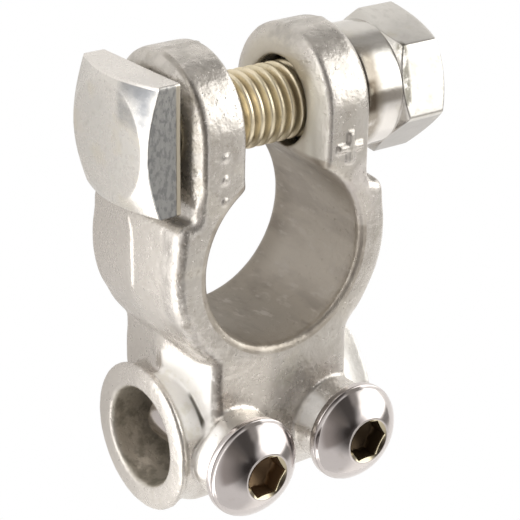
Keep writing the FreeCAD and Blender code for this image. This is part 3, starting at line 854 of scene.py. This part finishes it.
def castDraft(points):
    # the side walls lean in from the parting plane, as the die leaves them
    x, y, z = points.T
    side, parting, barrelY = np.sign(x), clamp["middle"], clamp["barrelY"]
    outer = step(np.abs(x), 6.5, 8.5) * step(np.hypot(x, y), 10.7, 11.7) * step(y, -12.2, -10.8)
    lug = step(y, *draft["lugFrom"])
    lean = draft["lean"] - draft["lugUpright"] * lug
    shift = (draft["out"] - draft["lugIn"] * lug - lean * np.abs(z - parting)) * outer
    # the lugs' long bevels run around their arched tops
    depth = draft["arch"] - np.hypot(np.maximum(0, y - clamp["boltY"]), z - clamp["middle"])
    shift = shift - bevelAt(depth, draft["outerBevel"]) * step(y, 7.2, 8.8) * step(x, -7.6, -9.0)
    slot = step(y, 7.6, 9.0) * step(np.abs(x), 3.2, 3.8) * step(np.abs(x), 6.8, 5.4)
    shift = shift + bevelAt(depth, draft["slotBevel"]) * slot
    # the neck's walls meet the barrel in a sharp corner
    away = np.hypot(y - barrelY, z - parting)
    share = np.clip((away - draft["barrel"]) / draft["cone"], 0, 1)
    corner = draft["cone"] * np.minimum(share, 1 - share)
    corner = corner * step(np.abs(np.abs(x) + away - draft["coneAt"]), 0.6, 0.35) * step(y, -19.0, -18.0)
    x = x - side * corner
    y = y - corner * (y - barrelY) / away
    z = z - corner * (z - parting) / away
    neck = step(y, -8.4, -9.6) * step(y, -18.2, -17.0) * step(np.abs(x), 6.0, 7.6) * step(np.abs(x), 10.9, 9.3)
    neck = neck * step(z, 5.0, 8.5) * step(z, 16.2, 15.75)
    shift = shift + np.interp(z, draft["neckZ"], draft["neckOut"]) * neck
    # the collars at the barrel's ends, a little fuller
    grow = step(np.abs(x), 10.9, 11.3) * step(away, 7.2, 7.6) * draft["collar"]
    y = y + grow * (y - barrelY) / away
    z = z + grow * (z - parting) / away
    shift = shift + draft["collarEnd"] * step(np.abs(x), 11.5, 12.0)
    # the screws' bosses widen towards the foot
    for middle in (-clamp["screwX"], clamp["screwX"]):
        across, along = x - middle, y - barrelY
        radius = np.hypot(across, along) + 1e-9
        spread = draft["bossSpread"] * (draft["bossTop"] - z) - np.clip(draft["footZ"] - z, 0, draft["foot"])
        spread = spread * step(radius, 3.3, 3.8) * step(radius, 6.2, 5.0) * step(z, 14.4, 15.6) * step(z, 18.9, 18.5)
        x, y = x + spread * across / radius, y + spread * along / radius
    return np.stack([x + side * shift, y, z], 1)


def relax(points, edges, passes, share):
    # moves each point towards the middle of its neighbours by its own share
    count = np.bincount(edges.ravel(), minlength=len(points))[:, None]
    for _ in range(passes):
        total = [np.bincount(edges[:, 0], points[edges[:, 1], axis], len(points))
                 + np.bincount(edges[:, 1], points[edges[:, 0], axis], len(points)) for axis in range(3)]
        points = points + share[:, None] * (np.stack(total, 1) / count - points)
    return points


def addBead(points, faces, line, half):
    # a closed round bar along a line of points
    sides = 10
    start = len(points)
    for i, place in enumerate(line):
        along = (line[min(i + 1, len(line) - 1)] - line[max(i - 1, 0)]).normalized()
        across = along.cross(Vector((0.31, 0.17, 0.93))).normalized()
        other = along.cross(across)
        for j in range(sides):
            angle = 2 * math.pi * j / sides
            points.append(place + (across * math.cos(angle) + other * math.sin(angle)) * half)
    for i in range(len(line) - 1):
        for j in range(sides):
            a, b = start + i * sides, start + (i + 1) * sides
            k = (j + 1) % sides
            faces.append((a + j, a + k, b + k, b + j))
    faces.append(tuple(start + j for j in reversed(range(sides))))
    faces.append(tuple(start + (len(line) - 1) * sides + j for j in range(sides)))


def addDot(points, faces, place, radius):
    # a small ball, most of which is sunk into the casting
    start, rows, sides = len(points), 7, 12
    for i in range(rows):
        tilt = math.pi * (i + 0.5) / rows
        for j in range(sides):
            turn = 2 * math.pi * j / sides
            out = Vector((math.sin(tilt) * math.cos(turn), math.sin(tilt) * math.sin(turn), -math.cos(tilt)))
            points.append(place + radius * out)
    for i in range(rows - 1):
        for j in range(sides):
            a, b, k = start + i * sides, start + (i + 1) * sides, (j + 1) % sides
            faces.append((a + j, a + k, b + k, b + j))
    faces.append(tuple(start + j for j in reversed(range(sides))))
    faces.append(tuple(start + (rows - 1) * sides + j for j in range(sides)))


def remeshed(name, points, faces, voxel):
    # one even skin around everything, by a voxel remesh
    mesh = bpy.data.meshes.new(name)
    mesh.from_pydata([tuple(Vector(p) * mm) for p in points], [], faces)
    raw = bpy.data.objects.new(name, mesh)
    bpy.context.scene.collection.objects.link(raw)
    weld = raw.modifiers.new("weld", "WELD")
    weld.merge_threshold = 0.002 * mm
    remesh = raw.modifiers.new("remesh", "REMESH")
    remesh.mode = "VOXEL"
    remesh.voxel_size = voxel * mm
    baked = bpy.data.meshes.new_from_object(raw.evaluated_get(bpy.context.evaluated_depsgraph_get()))
    bpy.data.objects.remove(raw)
    print(name, "remeshed", len(baked.polygons))
    return baked


def pointsOf(mesh):
    points = np.empty(len(mesh.vertices) * 3)
    mesh.vertices.foreach_get("co", points)
    return points.reshape(-1, 3) / mm


def edgesOf(mesh):
    edges = np.empty(len(mesh.edges) * 2, dtype=np.int64)
    mesh.edges.foreach_get("vertices", edges)
    return edges.reshape(-1, 2)


def buildCasting():
    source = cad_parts["clamp_body"].data
    points, faces = [v.co / mm for v in source.vertices], [tuple(p.vertices) for p in source.polygons]
    mesh = remeshed("castingCoarse", points, faces, casting["coarse"])
    places = castDraft(pointsOf(mesh))
    softness = np.full(len(places), casting["soft"])
    for part in casting["softness"]:
        softness = np.maximum(softness, part["share"] * boxShare(places, part["low"], part["high"], part["edge"]))
    radius = np.hypot(places[:, 0], places[:, 1])
    bore = step(radius, 11.0, 10.5) * step(places[:, 1], 9.5, 8.5)
    softness = softness * (1 - bore) + casting["soft"] * bore
    places = relax(places, edgesOf(mesh), casting["passes"], 0.5 * softness)

    points = [Vector(p) for p in places]
    faces = [tuple(p.vertices) for p in mesh.polygons]
    surface = BVHTree.FromPolygons(points, faces)
    for ridge in casting["ridges"]:
        ends = [Vector(p) for p in ridge["line"]]
        if len(ends) == 2:
            ends = [ends[0].lerp(ends[1], i / 9) for i in range(10)]
        line = []
        for place in ends:
            touch, normal = surface.find_nearest(place)[:2]
            line.append(touch - normal * ridge["sunk"])
        addBead(points, faces, line, ridge["half"])
    dots = casting["dots"]
    for y in dots["rows"]:
        touch, normal = surface.find_nearest(Vector((dots["x"], y, clamp["front"])))[:2]
        addDot(points, faces, touch - normal * dots["sunk"], dots["radius"])

    mesh = remeshed("castingFine", points, faces, casting["fine"])
    places = pointsOf(mesh)
    places = relax(places, edgesOf(mesh), casting["finePasses"], np.full(len(places), 0.5))
    mesh.vertices.foreach_set("co", (places * mm).ravel())
    raw = bpy.data.objects.new("castingFine", mesh)
    bpy.context.scene.collection.objects.link(raw)
    waves = raw.modifiers.new("waves", "DISPLACE")
    waves.texture = bpy.data.textures.new("castWaves", "CLOUDS")
    waves.texture.noise_scale = casting["waveSize"] * mm
    waves.strength = casting["waves"] * mm
    waves.mid_level = 0.5
    thin = raw.modifiers.new("thin", "DECIMATE")
    thin.ratio = min(1.0, casting["faces"] / (2 * len(mesh.polygons)))
    final = bpy.data.meshes.new_from_object(raw.evaluated_get(bpy.context.evaluated_depsgraph_get()))
    final.name = "clampCasting"
    bpy.data.objects.remove(raw)
    addPiece("clampCasting", final, metalFinishAndPaintedLight("castMetal", castLook), "body", "clamp_body")


buildCasting()
